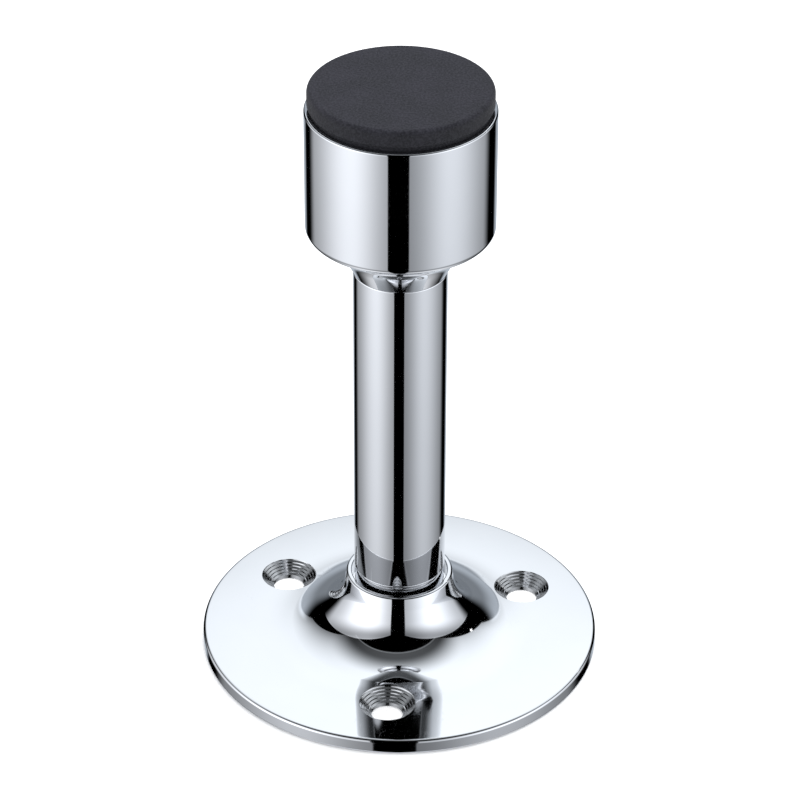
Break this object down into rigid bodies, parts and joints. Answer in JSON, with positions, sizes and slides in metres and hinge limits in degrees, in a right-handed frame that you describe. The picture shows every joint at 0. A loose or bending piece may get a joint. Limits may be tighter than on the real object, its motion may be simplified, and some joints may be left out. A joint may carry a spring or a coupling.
{
  "type": "projecting door stop",
  "caption": "Chromed door stop: round screw-down plate with a flared boss, slim tube and a cup that holds a rubber buffer.",
  "frame": {"origin": "centre of the underside of the base plate, on the centre line", "axes": "+Z along the centre line from the plate to the buffer's face; -Y points through the first screw hole; X completes a right-handed frame"},
  "size_m": [0.07, 0.07, 0.11],
  "materials": {
    "chrome_casting": "mirror-polished chrome plate on a zinc casting",
    "chrome_tube": "mirror-polished chrome plate on steel tube",
    "chrome_turned": "turned and chrome plated",
    "zinc_steel": "bright zinc-plated steel",
    "spring_steel": "dark spring steel",
    "rubber": "matt moulded rubber with a fine grain"
  },
  "bodies": {
    "stop": {"base_plate": "chrome_casting", "post_tube": "chrome_tube", "foot_plug": "chrome_turned", "head_cup": "chrome_casting", "tie_rod": "zinc_steel", "base_washer": "zinc_steel", "base_spring_washer": "spring_steel", "base_nut": "zinc_steel", "head_washer": "zinc_steel", "head_spring_washer": "spring_steel", "head_nut": "zinc_steel"},
    "buffer": {"rubber_buffer": "rubber"}
  },
  "joints": [
    {"name": "buffer_give", "type": "slide", "parent": "stop", "child": "buffer", "axis": [0, 0, -1], "range_m": [0, 0.0009], "stiffness_N_per_m": 50000}
  ]
}
